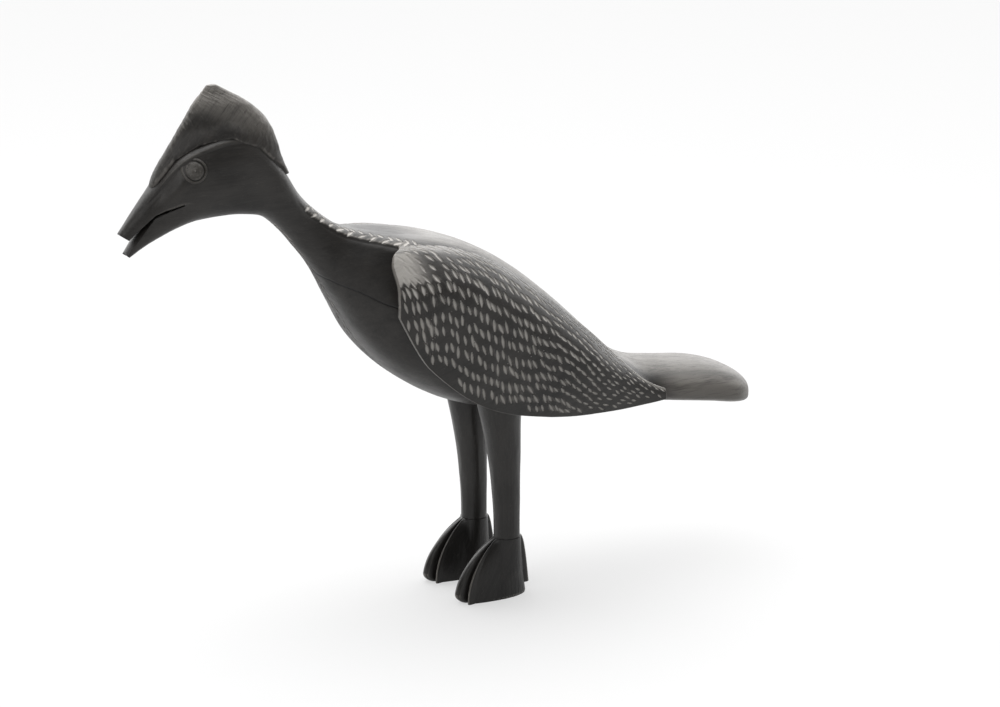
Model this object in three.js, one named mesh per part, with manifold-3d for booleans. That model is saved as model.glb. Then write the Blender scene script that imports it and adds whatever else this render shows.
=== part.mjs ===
// A standing bird carved in dark wood, with its beak open and a tall casque on its head.
// The body, neck, head, beak and tail are one billet. The casque, the two wings, the legs, the feet
// and the eye discs are separate pieces, pegged or let into it.
// Millimetres, +Z up, the beak towards -X, the bird's left side towards -Y. The bird is drawn with
// x = 0 on the axis of its ankles and moved at the end to stand over the middle of its own length.
import * as THREE from 'three';
import { mergeVertices } from 'three/addons/utils/BufferGeometryUtils.js';
import Module from 'manifold-3d';

const wasm = await Module();
wasm.setup();

// Gap left between any two pieces that touch
const seatGap = 0.3;

// Overall sizes. The points in the tables further down are drawn for a bird of these sizes, and
// another length or height here stretches them.
const birdLength = 672; // from the beak's tip to the tail's tip
const crestHeight = 345; // from the belly to the top of the casque

// Stance
const bellyHeight = 187; // from the ground to the belly, between the legs
const footSpacing = 66; // between the axes of the two ankles

// Body billet, widths across the bird
const beakTipWidth = 11;
const beakRootWidth = 31;
const headWidth = 53;
const neckWidth = 37;
const mantleWidth = 96; // across the shoulders, just in front of the wings
const trunkWidth = 146;
const rumpWidth = 118;
const tailRootWidth = 90;
const tailWidth = 98;

// Mouth
const mouthGap = 1.6; // width of the sawn slit
const mouthDrop = 11; // how far the lower beak tip hangs below the upper one

// Casque
const casqueWidth = 46;
const casqueCrestWidth = 15;
const casquePegDiameter = 10;
const casquePegLength = 40;

// Wings
const wingThickness = 8;
const wingLap = 36; // how far the upper edge of a wing stays from the middle of the back
const wingPegDiameter = 8;
const wingPegLength = 20;

// Legs
const thighDiameter = 41;
const ankleDiameter = 26;
const thighLead = 7.5; // how far the top of the leg stands forward of the ankle
const tenonDiameter = 20;
const hipTenonLength = 32;
const footTenonLength = 26;

// Feet
const footHeight = 60;
const footWidth = 29; // at its widest, a little in front of the ankle
const toeLength = 58; // from the ankle's axis to the tip of the middle toe
const toeWidth = 11; // of the middle toe
const toeTuck = 7; // the middle toe's tip is rounded under by this much
const outerToeLength = 50.5;
const outerToeWidth = 4;
const outerToeAngle = 11.5; // degrees from the middle toe
const heelLength = 20; // from the ankle's axis to the back of the sole
const hindToeLength = 25;
const hindToeWidth = 9;
const hindToeLift = 9; // from the ground to the underside of the hind toe

// Eyes
const eyeDiameter = 24;
const eyePupilDiameter = 14;
const eyeThickness = 4;

const darkWood = new THREE.MeshStandardMaterial({ color: 0x2e2824, roughness: 0.5, metalness: 0 });
const wornWood = new THREE.MeshStandardMaterial({ color: 0x3a322c, roughness: 0.6, metalness: 0 });
const pegWood = new THREE.MeshStandardMaterial({ color: 0x6b5540, roughness: 0.8, metalness: 0 });

// A place along the bird and a height above its belly, from those drawn for a bird 672 mm long whose
// casque ends 345 mm above the belly
const along = (x) => (x * birdLength) / 672;
const above = (height) => (height * crestHeight) / 345;

// Solids from rings of points. Every ring has the same number of points, and the two ends are closed
// by a fan from the middle of the end ring.
function loft(rings) {
  const sides = rings[0].length;
  const points = rings.flat();
  const faces = [];
  for (let row = 0; row + 1 < rings.length; row += 1) {
    for (let side = 0; side < sides; side += 1) {
      const a = row * sides + side;
      const b = row * sides + ((side + 1) % sides);
      faces.push([a, b, b + sides], [a, b + sides, a + sides]);
    }
  }
  const middle = (ring) => ring.reduce((sum, p) => sum.add(p), new THREE.Vector3()).divideScalar(sides);
  const last = (rings.length - 1) * sides;
  points.push(middle(rings[0]), middle(rings[rings.length - 1]));
  for (let side = 0; side < sides; side += 1) {
    const next = (side + 1) % sides;
    faces.push([next, side, points.length - 2], [last + side, last + next, points.length - 1]);
  }
  return solidFrom(points, faces);
}

function solidFrom(points, faces) {
  const flat = new THREE.BufferGeometry();
  const numbers = points.flatMap((point) => point.toArray());
  flat.setAttribute('position', new THREE.Float32BufferAttribute(numbers, 3));
  flat.setIndex(faces.flat());
  return solidOf(flat);
}

function solidOf(geometry) {
  const bare = geometry.clone();
  bare.deleteAttribute('normal');
  bare.deleteAttribute('uv');
  const merged = mergeVertices(bare, 1e-4);
  const corners = [];
  for (let i = 0; i < merged.index.count; i += 3) {
    const [a, b, c] = [0, 1, 2].map((k) => merged.index.getX(i + k));
    if (a !== b && b !== c && c !== a) corners.push(a, b, c);
  }
  const mesh = new wasm.Mesh({
    numProp: 3,
    vertProperties: new Float32Array(merged.attributes.position.array),
    triVerts: new Uint32Array(corners),
  });
  const solid = new wasm.Manifold(mesh);
  if (solid.volume() > 0) return solid;
  for (let i = 0; i < corners.length; i += 3) [corners[i], corners[i + 1]] = [corners[i + 1], corners[i]];
  mesh.triVerts = new Uint32Array(corners);
  return new wasm.Manifold(mesh);
}

function geometryOf(solid) {
  const mesh = solid.getMesh();
  const geometry = new THREE.BufferGeometry();
  geometry.setAttribute('position', new THREE.BufferAttribute(new Float32Array(mesh.vertProperties), 3));
  geometry.setIndex(new THREE.BufferAttribute(new Uint32Array(mesh.triVerts), 1));
  return geometry;
}

// A round bar between two points
function bar(start, end, diameter, sides = 24) {
  const length = start.distanceTo(end);
  const geometry = new THREE.CylinderGeometry(diameter / 2, diameter / 2, length, sides);
  const direction = end.clone().sub(start).normalize();
  const turn = new THREE.Quaternion().setFromUnitVectors(new THREE.Vector3(0, 1, 0), direction);
  geometry.applyQuaternion(turn);
  const middle = start.clone().add(end).multiplyScalar(0.5);
  geometry.translate(middle.x, middle.y, middle.z);
  return solidOf(geometry);
}

// Body. Each section is a slice across the bird: its top and bottom points on the middle plane, as
// [x, height above the belly], its width, how far up its widest line is, and how boxy it is, where 2
// is an ellipse and more is boxier. A mixed width lies that share of the way from one to the other.
const mix = THREE.MathUtils.lerp;
const bodySections = [
  { top: [-386, 213], bottom: [-383, 189], widest: 0.5, boxy: 2.6, width: beakTipWidth },
  {
    top: [-366, 238], bottom: [-359, 204], widest: 0.5, boxy: 2.6,
    width: mix(beakTipWidth, beakRootWidth, 0.5),
  },
  { top: [-348, 259], bottom: [-340, 213], widest: 0.55, boxy: 2.6, width: beakRootWidth },
  {
    top: [-328, 282], bottom: [-324, 220], widest: 0.6, boxy: 2.9,
    width: mix(beakRootWidth, headWidth, 0.67),
  },
  { top: [-306, 295], bottom: [-308, 224], widest: 0.6, boxy: 3, width: headWidth },
  { top: [-276, 303], bottom: [-280, 225], widest: 0.6, boxy: 3, width: headWidth },
  {
    top: [-249, 295], bottom: [-258, 223], widest: 0.6, boxy: 2.8,
    width: mix(headWidth, neckWidth, 0.33),
  },
  {
    top: [-223, 266], bottom: [-240, 218], widest: 0.55, boxy: 2.4,
    width: mix(headWidth, neckWidth, 0.5),
  },
  { top: [-203, 235], bottom: [-224, 204], widest: 0.5, boxy: 2.2, width: neckWidth },
  { top: [-183, 215], bottom: [-209, 186], widest: 0.55, boxy: 2.3, width: neckWidth },
  {
    top: [-161, 200], bottom: [-191, 162], widest: 0.66, boxy: 2.6,
    width: mix(neckWidth, mantleWidth, 0.2),
  },
  {
    top: [-130, 192], bottom: [-169, 124], widest: 0.76, boxy: 3,
    width: mix(neckWidth, mantleWidth, 0.83),
  },
  {
    top: [-99, 187], bottom: [-146, 85], widest: 0.72, boxy: 3.1,
    width: mix(mantleWidth, trunkWidth, 0.33),
  },
  {
    top: [-62, 179], bottom: [-112, 50], widest: 0.62, boxy: 2.8,
    width: mix(mantleWidth, trunkWidth, 0.8),
  },
  { top: [-23, 164], bottom: [-67, 21], widest: 0.55, boxy: 2.4, width: trunkWidth },
  { top: [15, 141], bottom: [-16, 3], widest: 0.5, boxy: 2.2, width: trunkWidth },
  { top: [54, 109], bottom: [42, -3], widest: 0.48, boxy: 2.2, width: mix(trunkWidth, rumpWidth, 0.17) },
  { top: [91, 74], bottom: [88, -8], widest: 0.45, boxy: 2.2, width: mix(trunkWidth, rumpWidth, 0.5) },
  { top: [125, 43], bottom: [124, -13], widest: 0.42, boxy: 2.2, width: rumpWidth },
  { top: [157, 26], bottom: [156, -17], widest: 0.38, boxy: 2.2, width: tailRootWidth },
  {
    top: [194, 18], bottom: [193, -21], widest: 0.28, boxy: 2.3,
    width: mix(tailRootWidth, tailWidth, 0.67),
  },
  { top: [232, 12], bottom: [231, -27], widest: 0.28, boxy: 2.4, width: tailWidth },
  { top: [257, 5], bottom: [256, -32], widest: 0.32, boxy: 2.5, width: tailWidth },
  { top: [273, -2], bottom: [272, -35], widest: 0.36, boxy: 2.6, width: 0.86 * tailWidth },
  { top: [285, -12], bottom: [284, -37], widest: 0.42, boxy: 2.7, width: 0.58 * tailWidth },
  { top: [291, -22], bottom: [290, -38], widest: 0.5, boxy: 2.4, width: 0.2 * tailWidth },
];

// A number of a section between two given ones, on a smooth curve through its neighbours
function smooth(values, at) {
  const i = Math.min(Math.floor(at), values.length - 2);
  const t = at - i;
  const before = values[Math.max(i - 1, 0)];
  const after = values[Math.min(i + 2, values.length - 1)];
  const startSlope = (values[i + 1] - before) / 2;
  const endSlope = (after - values[i]) / 2;
  return values[i] * (2 * t ** 3 - 3 * t ** 2 + 1) + values[i + 1] * (3 * t ** 2 - 2 * t ** 3)
    + startSlope * (t ** 3 - 2 * t ** 2 + t) + endSlope * (t ** 3 - t ** 2);
}

function bodySection(at) {
  const pick = (read) => smooth(bodySections.map(read), at);
  return {
    top: new THREE.Vector3(along(pick((s) => s.top[0])), 0, above(pick((s) => s.top[1]))),
    bottom: new THREE.Vector3(along(pick((s) => s.bottom[0])), 0, above(pick((s) => s.bottom[1]))),
    width: pick((s) => s.width),
    widest: pick((s) => s.widest),
    boxy: pick((s) => s.boxy),
  };
}

// The ring of a section: a superellipse whose upper and lower halves meet at its widest line
function ringOf(section, sides, grow = 0) {
  const up = section.top.clone().sub(section.bottom);
  const height = up.length();
  up.normalize();
  const centre = section.bottom.clone().addScaledVector(up, height * section.widest);
  const ring = [];
  for (let side = 0; side < sides; side += 1) {
    const angle = (2 * Math.PI * side) / sides;
    const across = Math.sign(Math.cos(angle)) * Math.abs(Math.cos(angle)) ** (2 / section.boxy);
    const rise = Math.sign(Math.sin(angle)) * Math.abs(Math.sin(angle)) ** (2 / section.boxy);
    const reach = (rise > 0 ? 1 - section.widest : section.widest) * height + grow;
    const point = centre.clone().addScaledVector(up, rise * reach);
    point.y = across * (section.width / 2 + grow);
    ring.push(point);
  }
  return ring;
}

function bodyBlock(grow = 0) {
  const rings = [];
  const steps = 2;
  for (let k = 0; k <= (bodySections.length - 1) * steps; k += 1) {
    rings.push(ringOf(bodySection(k / steps), 32, grow));
  }
  return loft(rings);
}

// The mouth is a slit sawn from the beak's tip to the corner of the mouth. The same cut squares off
// the two tips, the lower one further down. Points are [x, height above the belly].
const upperTipTop = [-390, 225]; // just in front of the upper tip
const upperTipLow = [-374, 213.5];
const jawsPart = [-362, 224.3]; // in front of here the lower beak hangs away from the upper one
const mouthBend = [-350, 235];
const mouthCorner = [-325, 244];
const lowerTipSlope = 0.88; // how steeply the lower tip is cut back

function mouthCut() {
  const point = ([x, height]) => new THREE.Vector2(along(x), above(height));
  const acrossSlit = (place) => point(place).add(new THREE.Vector2(mouthGap / 4, -mouthGap));
  const lowerTip = point(upperTipLow).add(new THREE.Vector2(-mouthDrop / 3, -mouthDrop));
  const clear = 30; // far enough to pass out of the beak
  const outline = new THREE.Shape([
    point(upperTipTop),
    point(upperTipLow),
    point(mouthBend),
    point(mouthCorner),
    acrossSlit(mouthCorner),
    acrossSlit(mouthBend),
    acrossSlit(jawsPart),
    lowerTip,
    lowerTip.clone().add(new THREE.Vector2(clear, -clear * lowerTipSlope)),
    lowerTip.clone().add(new THREE.Vector2(-clear, -clear * lowerTipSlope)),
    lowerTip.clone().add(new THREE.Vector2(-clear, clear)),
  ]);
  const depth = 2 * headWidth;
  const geometry = new THREE.ExtrudeGeometry(outline, { depth, bevelEnabled: false });
  geometry.rotateX(Math.PI / 2);
  geometry.translate(0, depth / 2, 0);
  return solidOf(geometry);
}

// Casque. Level slices from its foot, which the head's top trims, to its rounded crest. Each slice is
// boxy at the rear and narrows to the straight front edge.
const casqueSquare = 3.4;
const casqueFrontShare = 0.4; // width of the front edge as a share of the full width
const casqueSlices = [
  { height: 258, front: -350, rear: -215, width: casqueWidth },
  { height: 274, front: -342, rear: -222, width: casqueWidth },
  { height: 289, front: -332, rear: -226, width: casqueWidth - 3 },
  { height: 304, front: -322, rear: -232, width: casqueWidth - 7 },
  { height: 317, front: -313, rear: -241, width: casqueWidth - 12 },
  { height: 329, front: -305, rear: -255, width: casqueWidth - 18 },
  { height: 338, front: -297, rear: -270, width: casqueCrestWidth },
  { height: 345, front: -291, rear: -282, width: casqueCrestWidth / 2.5 },
];

function casqueBlock() {
  const rings = [];
  const steps = 2;
  for (let k = 0; k <= (casqueSlices.length - 1) * steps; k += 1) {
    const pick = (read) => smooth(casqueSlices.map(read), k / steps);
    const front = along(pick((s) => s.front));
    const rear = along(pick((s) => s.rear));
    const ring = [];
    for (let side = 0; side < 32; side += 1) {
      const angle = (2 * Math.PI * side) / 32;
      const back = Math.sign(Math.cos(angle)) * Math.abs(Math.cos(angle)) ** (2 / casqueSquare);
      const across = Math.sign(Math.sin(angle)) * Math.abs(Math.sin(angle)) ** (2 / casqueSquare);
      const taper = 1 - (1 - casqueFrontShare) * ((1 - back) / 2) ** 2;
      ring.push(new THREE.Vector3(
        (front + rear) / 2 + (back * (rear - front)) / 2,
        (across * taper * pick((s) => s.width)) / 2,
        above(pick((s) => s.height)),
      ));
    }
    rings.push(ring);
  }
  return loft(rings);
}

// Wings. A wing is a leaf cut from a shell that runs round the trunk. The shell's own sections stand
// across the bird at x: its height at the middle of the back, the height of its widest line, its half
// width there, how far it would close below, and how boxy its upper half is. The lower half is
// nearly an ellipse.
const wingShell = [
  { x: -145, top: 187, widest: 138, half: trunkWidth / 2 + 14, below: 190, boxy: 5 },
  { x: -100, top: 186, widest: 122, half: trunkWidth / 2 + 14, below: 175, boxy: 3.8 },
  { x: -55, top: 177, widest: 100, half: trunkWidth / 2 + 12, below: 150, boxy: 3 },
  { x: -15, top: 161, widest: 78, half: trunkWidth / 2 + 9, below: 125, boxy: 2.6 },
  { x: 30, top: 130, widest: 55, half: trunkWidth / 2 + 6, below: 105, boxy: 2.3 },
  { x: 80, top: 87, widest: 33, half: trunkWidth / 2 + 1, below: 85, boxy: 2.1 },
  { x: 125, top: 48, widest: 12, half: rumpWidth / 2 + 6, below: 65, boxy: 2.1 },
  { x: 170, top: 22, widest: -4, half: rumpWidth / 2 + 1, below: 45, boxy: 2.1 },
].map((row) => ({
  ...row, x: along(row.x), top: above(row.top), widest: above(row.widest), below: above(row.below),
}));
const wingUnderSquare = 2.2;

// The leaf's lower edge as [x, height above the belly] and its upper edge as [x, distance from the
// middle of the back], both from the front to the rear tip. The front edge joins their first points
// in a bulge.
const wingLowerEdge = [
  [-142, 128], [-121, 89], [-103, 67], [-55, 29], [-15, 11],
  [24, 2], [60, -3], [95, -5], [130, -6], [165, -5],
].map(([x, height]) => [along(x), above(height)]);
const wingUpperEdge = [
  [-120, 6], [-90, 4], [-52, 0], [-10, -2], [30, -2],
  [65, 0], [95, 8], [115, 14], [138, 22], [165, 22],
].map(([x, y]) => [along(x), y]);
const wingFrontBulge = 10;
const frontBulgeFullness = 0.3; // the nearer to 0, the squarer the two ends of the bulge
const frontBulgeFade = 6; // how fast the bulge dies out behind the front edge
// A point on the lower edge of the facet at the shoulder, and the way the facet looks
const wingShoulder = new THREE.Vector3(along(-137), -trunkWidth / 2 - 12, above(154));
const shoulderFacing = new THREE.Vector3(0, -0.8, 0.6); // one length long
const shoulderSoftness = 5; // rounds the facet's edge

function shellSection(x) {
  const rows = wingShell;
  let i = 0;
  while (i + 2 < rows.length && x > rows[i + 1].x) i += 1;
  const at = i + (x - rows[i].x) / (rows[i + 1].x - rows[i].x);
  const pick = (key) => smooth(rows.map((row) => row[key]), Math.max(0, Math.min(rows.length - 1, at)));
  const shape = Object.keys(rows[0]).map((key) => [key, pick(key)]);
  return { ...Object.fromEntries(shape), x };
}

// A point of the shell at a turn from 0, the middle of the back, past 90 degrees, its widest line
function shellPoint(section, turn, inset) {
  const below = turn > Math.PI / 2;
  const power = 2 / (below ? wingUnderSquare : section.boxy);
  const across = Math.abs(Math.sin(turn)) ** power * (section.half - inset);
  const reach = (below ? section.below : section.top - section.widest) - inset;
  const rise = Math.sign(Math.cos(turn)) * Math.abs(Math.cos(turn)) ** power * reach;
  const point = new THREE.Vector3(section.x, -across, section.widest + rise);
  const beyondFacet = point.clone().sub(wingShoulder).dot(shoulderFacing) + inset;
  const push = (beyondFacet + Math.hypot(beyondFacet, shoulderSoftness)) / 2;
  return point.addScaledVector(shoulderFacing, -push);
}

function turnAtHeight(section, height) {
  const below = height < section.widest;
  const rise = (height - section.widest) / (below ? section.below : section.top - section.widest);
  const power = (below ? wingUnderSquare : section.boxy) / 2;
  return Math.acos(Math.sign(rise) * Math.min(Math.abs(rise), 0.999) ** power);
}

function turnAtReach(section, y) {
  return Math.asin(Math.min(y / section.half, 0.999) ** (section.boxy / 2));
}

// The left wing as a closed shell: an outer and an inner face and the rim that joins them. The upper
// part is let into the back, and the front, the lower edge and the tip stand clear of the body.
function wingBlock(grow = 0) {
  const rows = 24;
  const columns = 14;
  const rimGrow = 2 * grow;
  const lower = wingLowerEdge.map(([x, height]) => (
    new THREE.Vector2(x, turnAtHeight(shellSection(x), height))
  ));
  const upper = wingUpperEdge.map(([x, y]) => (
    new THREE.Vector2(x, turnAtReach(shellSection(x), wingLap + y - rimGrow))
  ));
  const placeOn = (edge, share) => new THREE.Vector2(
    smooth(edge.map((p) => p.x), share * (edge.length - 1)),
    smooth(edge.map((p) => p.y), share * (edge.length - 1)),
  );
  const points = [];
  for (const face of [0, 1]) {
    for (let row = 0; row <= rows; row += 1) {
      for (let column = 0; column <= columns; column += 1) {
        const share = row / rows;
        const place = placeOn(upper, share).lerp(placeOn(lower, share), column / columns);
        const bulge = Math.sin((Math.PI * column) / columns) ** frontBulgeFullness;
        place.x -= wingFrontBulge * bulge * (1 - share) ** frontBulgeFade;
        place.x += rimGrow * (2 * share - 1);
        const sunk = face === 0 ? -grow : wingThickness + grow;
        points.push(shellPoint(shellSection(place.x), place.y, sunk));
      }
    }
  }
  const width = columns + 1;
  const inner = (rows + 1) * width;
  const faces = [];
  for (let row = 0; row < rows; row += 1) {
    for (let column = 0; column < columns; column += 1) {
      const a = row * width + column;
      faces.push([a, a + 1, a + width + 1], [a, a + width + 1, a + width]);
      const b = inner + a;
      faces.push([b, b + width + 1, b + 1], [b, b + width, b + width + 1]);
    }
    for (const [column, flip] of [[0, false], [columns, true]]) {
      const a = row * width + column;
      const b = a + width;
      if (flip) faces.push([a, inner + b, b], [a, inner + a, inner + b]);
      else faces.push([a, b, inner + b], [a, inner + b, inner + a]);
    }
  }
  for (const [row, flip] of [[0, true], [rows, false]]) {
    for (let column = 0; column < columns; column += 1) {
      const a = row * width + column;
      const b = a + 1;
      if (flip) faces.push([a, inner + b, b], [a, inner + a, inner + b]);
      else faces.push([a, b, inner + b], [a, inner + b, inner + a]);
    }
  }
  return solidFrom(points, faces);
}

// The y of a solid's outer face, seen from the bird's left at a given x and height
function leftFaceAt(solid, x, height) {
  const start = new THREE.Vector3(x, -trunkWidth, height);
  const caster = new THREE.Raycaster(start, new THREE.Vector3(0, 1, 0));
  const hit = caster.intersectObject(new THREE.Mesh(geometryOf(solid), darkWood))[0];
  return hit.point.y;
}

// Legs. A leg is a round post, thicker towards the thigh, with a tenon at each end. The post is drawn
// past the belly's surface, which trims it.
const ankleHeight = footHeight - bellyHeight;
const postReach = 45; // above the lowest belly
const tenonRoot = 20; // how far a tenon runs inside its own post

function legPost() {
  const rings = [];
  const levels = 10;
  const sides = 24;
  for (let level = 0; level <= levels; level += 1) {
    const height = ankleHeight + seatGap + (level / levels) * (postReach - ankleHeight);
    const share = (height - ankleHeight) / -ankleHeight;
    const radius = (ankleDiameter + (thighDiameter - ankleDiameter) * share ** 2) / 2;
    const ring = [];
    for (let side = 0; side < sides; side += 1) {
      const angle = (2 * Math.PI * side) / sides;
      ring.push(new THREE.Vector3(
        -thighLead * share ** 2 + radius * Math.cos(angle),
        -footSpacing / 2 + radius * Math.sin(angle),
        height,
      ));
    }
    rings.push(ring);
  }
  return loft(rings);
}

function tenon(x, low, high, grow) {
  const y = -footSpacing / 2;
  return bar(new THREE.Vector3(x, y, low), new THREE.Vector3(x, y, high), tenonDiameter + 2 * grow);
}

const hipTenon = (grow = 0) => tenon(-thighLead, -tenonRoot, hipTenonLength + grow, grow);
const footTenon = (grow = 0) => (
  tenon(0, ankleHeight + tenonRoot, ankleHeight - footTenonLength - grow, grow)
);

// Feet. The sole is an oval with three toes: a broad middle one and a thin outer one on each side,
// with a deep cut between them. Above it the toes slope and then drop, the flanks behind them fall
// in a hollow curve, and a narrow hind toe stands out behind, clear of the ground.
const toeFall = (level) => (1 - level ** 2.1) ** 0.9;
const flankFall = (level) => (1 - level) ** 1.3;
const hindToeFall = (level) => (level * footHeight > hindToeLift ? (1 - level) ** 0.45 : 0);
const hindToeLevel = hindToeLift / footHeight;
const footLevels = [0, 0.06, hindToeLevel, hindToeLevel + 0.02, 0.36, 0.54, 0.7, 0.85, 1];
const toeTuckLevel = 0.15; // the toe is rounded under up to here
const ankleLip = 0.7; // the foot stands proud of the leg all round
const footWaist = 8; // the foot is widest this far in front of the ankle's axis
const footSides = 60;
const toeCrowding = 0.68; // draws the sides of the ring together round the toes

// How far a straight toe with a round end reaches from the ankle's axis, at an angle off the toe
function toeReach(off, length, width) {
  if (Math.abs(off) > Math.PI / 2.2) return 0;
  const half = width / 2;
  const inside = half ** 2 - ((length - half) * Math.sin(off)) ** 2;
  const straight = (length - half) * Math.cos(off);
  const end = inside > 0 ? straight + Math.sqrt(inside) : 0;
  return Math.max(end, Math.min(half / Math.max(Math.abs(Math.sin(off)), 0.01), straight));
}

// How far the oval of the sole reaches from the ankle's axis: half an ellipse in front of the foot's
// widest line and a shorter half behind it
function ovalReach(angle) {
  const reachOf = (length) => {
    const a = (Math.cos(angle) / length) ** 2 + (Math.sin(angle) / (footWidth / 2)) ** 2;
    const b = (footWaist * Math.cos(angle)) / length ** 2;
    return (b + Math.sqrt(b ** 2 - a * ((footWaist / length) ** 2 - 1))) / a;
  };
  const front = reachOf(outerToeLength);
  return front * Math.cos(angle) > footWaist ? front : reachOf(heelLength + footWaist);
}

function footBlock() {
  const rings = [];
  const outerAngle = THREE.MathUtils.degToRad(outerToeAngle);
  const ankleRadius = ankleDiameter / 2 + ankleLip;
  const beyond = (reach, share) => Math.max(reach - ankleRadius, 0) * share;
  for (const level of footLevels) {
    const tuck = toeTuck * Math.max(1 - level / toeTuckLevel, 0) ** 2;
    const ring = [];
    for (let side = 0; side < footSides; side += 1) {
      const turn = (2 * Math.PI * side) / footSides;
      const angle = turn - toeCrowding * Math.sin(turn);
      const off = Math.abs(Math.atan2(Math.sin(angle), Math.cos(angle)));
      const middle = toeReach(off, toeLength - tuck, toeWidth);
      const outer = toeReach(off - outerAngle, outerToeLength, outerToeWidth);
      const behindToe = THREE.MathUtils.smoothstep(off, outerAngle, 4 * outerAngle);
      const flank = off > outerAngle ? ovalReach(off) : 0;
      const reach = ankleRadius + Math.max(
        beyond(Math.max(middle, outer), toeFall(level)),
        beyond(flank, mix(toeFall(level), flankFall(level), behindToe)),
        beyond(toeReach(Math.PI - off, hindToeLength, hindToeWidth), hindToeFall(level)),
      );
      ring.push(new THREE.Vector3(
        -reach * Math.cos(angle),
        -footSpacing / 2 + reach * Math.sin(angle),
        level * footHeight - bellyHeight,
      ));
    }
    rings.push(ring);
  }
  return loft(rings);
}

// Eyes. A turned disc with a groove round its domed pupil, let into a round pocket in the side of the
// head.
const eyeSection = 3.57; // which of the body's sections it lies on
const eyeRise = 0.765; // how far up that section
const eyeRimProud = 0.5;
const eyeGroove = 1.1; // half its width, and about its depth
const eyeDome = 1.4;
const eyeMiddle = bodySection(eyeSection).bottom.lerp(bodySection(eyeSection).top, eyeRise);

function eyeDisc(faceY) {
  const outer = eyeDiameter / 2;
  const pupil = eyePupilDiameter / 2;
  const profile = [
    [0, -eyeThickness],
    [outer, -eyeThickness],
    [outer, 0],
    [outer - 3 * eyeRimProud, eyeRimProud],
    [pupil + 2 * eyeGroove, eyeRimProud],
    [pupil + eyeGroove, eyeRimProud - eyeGroove],
    [pupil, eyeRimProud],
    [pupil * 0.6, eyeDome - 0.2],
    [0, eyeDome],
  ].map(([radius, out]) => new THREE.Vector2(radius, out));
  const geometry = new THREE.LatheGeometry(profile, 24);
  geometry.rotateX(Math.PI);
  geometry.translate(eyeMiddle.x, faceY, eyeMiddle.z);
  return solidOf(geometry);
}

// Pegs. A hidden peg runs across the joint, half in the body and half in the wing or the casque.
const wingPegPlaces = {
  front: { x: along(-68), height: above(112) },
  rear: { x: along(74), height: above(38) },
};
const wallOverWingPeg = 3;
const pegSides = 16;
const crownSection = 5; // the body's section at the top of the head, where the casque sits
const casqueSeat = bodySection(crownSection).top;

function wingPeg(place, wing, grow = 0) {
  const outerEnd = leftFaceAt(wing, place.x, place.height) + wallOverWingPeg - grow;
  return bar(
    new THREE.Vector3(place.x, outerEnd, place.height),
    new THREE.Vector3(place.x, outerEnd + wingPegLength + 2 * grow, place.height),
    wingPegDiameter + 2 * grow,
    pegSides,
  );
}

function casquePeg(grow = 0) {
  const half = casquePegLength / 2 + grow;
  return bar(
    new THREE.Vector3(casqueSeat.x, 0, casqueSeat.z - half),
    new THREE.Vector3(casqueSeat.x, 0, casqueSeat.z + half),
    casquePegDiameter + 2 * grow,
    pegSides,
  );
}

const bothSides = (solid) => solid.add(solid.mirror([0, 1, 0]));

const plainWing = wingBlock();
const plainBody = bodyBlock().subtract(mouthCut());
const eyeFace = leftFaceAt(plainBody, eyeMiddle.x, eyeMiddle.z);
const eyePocket = bar(
  new THREE.Vector3(eyeMiddle.x, eyeFace - eyeDiameter, eyeMiddle.z),
  new THREE.Vector3(eyeMiddle.x, eyeFace + eyeThickness + seatGap, eyeMiddle.z),
  eyeDiameter + 2 * seatGap,
);
const frontPegHole = wingPeg(wingPegPlaces.front, plainWing, seatGap);
const rearPegHole = wingPeg(wingPegPlaces.rear, plainWing, seatGap);
const pegHoles = frontPegHole.add(rearPegHole);

let body = plainBody;
for (const cut of [wingBlock(seatGap), hipTenon(seatGap), eyePocket, pegHoles, casquePeg(seatGap)]) {
  body = body.subtract(bothSides(cut));
}

// The pieces that stand on the body's curved surface are trimmed by it, with the gap on both sides
const bodyRoom = bothSides(bodyBlock(seatGap));

const casque = casqueBlock().subtract(bodyRoom).subtract(casquePeg(seatGap));
const wing = plainWing.subtract(pegHoles);
const leg = legPost().subtract(bodyRoom).add(hipTenon()).add(footTenon());
const foot = footBlock().subtract(footTenon(seatGap));

const bird = new THREE.Group();

function place(name, solid, material) {
  const piece = new THREE.Mesh(geometryOf(solid), material);
  piece.name = name;
  bird.add(piece);
}

// A piece of the left side and its mirror image on the right
function placePair(name, solid, material) {
  place(`left_${name}`, solid, material);
  place(`right_${name}`, solid.mirror([0, 1, 0]), material);
}

place('body', body, darkWood);
place('casque', casque, wornWood);
place('casque_peg', casquePeg(), pegWood);
placePair('wing', wing, darkWood);
placePair('wing_front_peg', wingPeg(wingPegPlaces.front, plainWing), pegWood);
placePair('wing_rear_peg', wingPeg(wingPegPlaces.rear, plainWing), pegWood);
placePair('leg', leg, darkWood);
placePair('foot', foot, darkWood);
placePair('eye', eyeDisc(eyeFace), wornWood);

// The bird stands on the ground over the middle of its own length
const extent = new THREE.Box3().setFromObject(bird);
bird.position.set(-(extent.min.x + extent.max.x) / 2, 0, bellyHeight);

export default bird;
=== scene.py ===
import math
import bpy
import numpy as np
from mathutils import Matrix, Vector
from mathutils.bvhtree import BVHTree


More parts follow.
